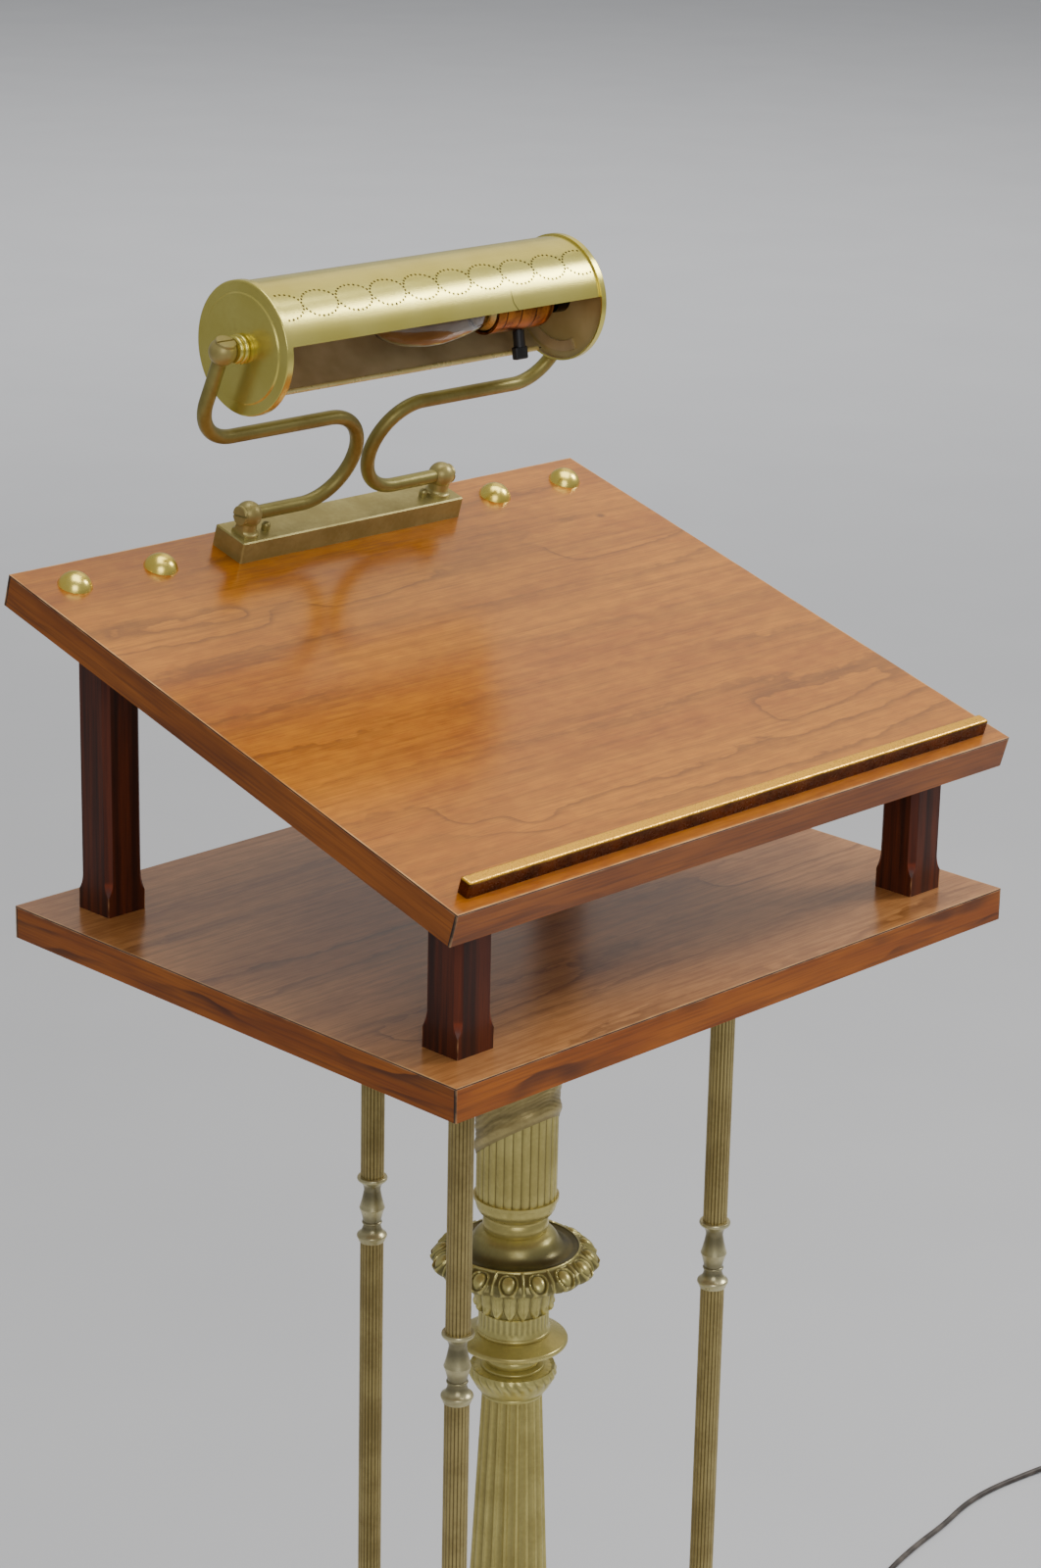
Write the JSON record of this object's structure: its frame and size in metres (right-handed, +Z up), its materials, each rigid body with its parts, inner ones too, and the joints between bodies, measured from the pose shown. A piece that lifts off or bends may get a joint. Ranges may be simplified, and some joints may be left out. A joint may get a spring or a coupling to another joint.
{
  "type": "pedestal lectern",
  "caption": "Standing lectern: slanted veneered reading board over an open shelf, fluted brass pillar with slender rods on a round base, swing-arm shaded lamp.",
  "frame": {"origin": "on the floor, on the pillar's axis, in the middle of the base's felt", "axes": "+Z up, +X to the reader's right, the reader stands on the -Y side"},
  "size_m": [1.3825, 0.5587, 1.3089],
  "materials": {
    "veneer": "lacquered cherry veneer",
    "core_wood": "plain",
    "edge_strip": "lacquered",
    "dark_wood": "lacquered mahogany",
    "ledge_brass": "worn",
    "bright_brass": "polished",
    "lamp_brass": "satin",
    "arm_brass": "aged, polished",
    "socket_brass": "satin",
    "bulb_glass": "clear",
    "black_plastic": "satin",
    "aged_brass": "dull, aged",
    "knuckle_brass": "silvery, satin",
    "steel": "plain",
    "iron": "raw",
    "felt": "felt",
    "lead_rubber": "matt"
  },
  "bodies": {
    "lectern": {"base_felt": "felt", "base_shell": "aged_brass", "base_weight": "iron", "board_core": "core_wood", "board_edge_strips": "edge_strip", "board_top_sheet": "veneer", "book_ledge": "ledge_brass", "capital_bell": "aged_brass", "coil_tie": "lead_rubber", "column_foot": "aged_brass", "column_shaft": "aged_brass", "cord_bushing": "lead_rubber", "cord_coil": "lead_rubber", "cord_lead": "lead_rubber", "dome_studs": "bright_brass", "drip_pan": "aged_brass", "drum_collar": "aged_brass", "lamp_bar": "arm_brass", "lamp_bar_screws": "arm_brass", "lamp_wire": "lead_rubber", "lower_ball_left": "arm_brass", "lower_ball_right": "arm_brass", "lower_rod_front_left": "aged_brass", "lower_rod_front_right": "aged_brass", "lower_rod_rear": "aged_brass", "plug": "lead_rubber", "post_dowels": "core_wood", "post_front_left": "dark_wood", "post_front_right": "dark_wood", "post_rear_left": "dark_wood", "post_rear_right": "dark_wood", "rod_feet": "aged_brass", "rod_knuckle_front_left": "knuckle_brass", "rod_knuckle_front_right": "knuckle_brass", "rod_knuckle_rear": "knuckle_brass", "rod_studs": "steel", "saucer_ring": "aged_brass", "shaft_cup": "aged_brass", "shelf_core": "core_wood", "shelf_edge_strips": "edge_strip", "shelf_top_sheet": "veneer", "tie_nuts": "steel", "tie_pipe": "steel", "top_plate": "steel", "top_plate_screws": "steel", "upper_drum": "aged_brass", "upper_rod_front_left": "aged_brass", "upper_rod_front_right": "aged_brass", "upper_rod_rear": "aged_brass"},
    "lamp_arms": {"arm_left": "arm_brass", "arm_right": "arm_brass", "upper_ball_left": "arm_brass", "upper_ball_right": "arm_brass", "slotted_plugs": "arm_brass"},
    "lamp_shade": {"shade_tube": "lamp_brass", "shade_cap_left": "lamp_brass", "shade_cap_right": "lamp_brass", "lamp_socket": "socket_brass", "bulb": "bulb_glass"},
    "switch_key": {"switch_key": "black_plastic"}
  },
  "joints": [
    {"name": "arm_tilt", "type": "hinge", "parent": "lectern", "child": "lamp_arms", "pos_m": [0, 0.15535, 1.15784], "axis": [1, 0, 0], "range_deg": [-50, 50]},
    {"name": "shade_tilt", "type": "hinge", "parent": "lamp_arms", "child": "lamp_shade", "pos_m": [0, 0.10348, 1.27051], "axis": [1, 0, 0], "range_deg": [-75, 75]},
    {"name": "switch_key_turn", "type": "hinge", "parent": "lamp_shade", "child": "switch_key", "pos_m": [0.089, 0.10348, 1.27051], "axis": [0, -0.1392, -0.9903], "continuous": true}
  ]
}
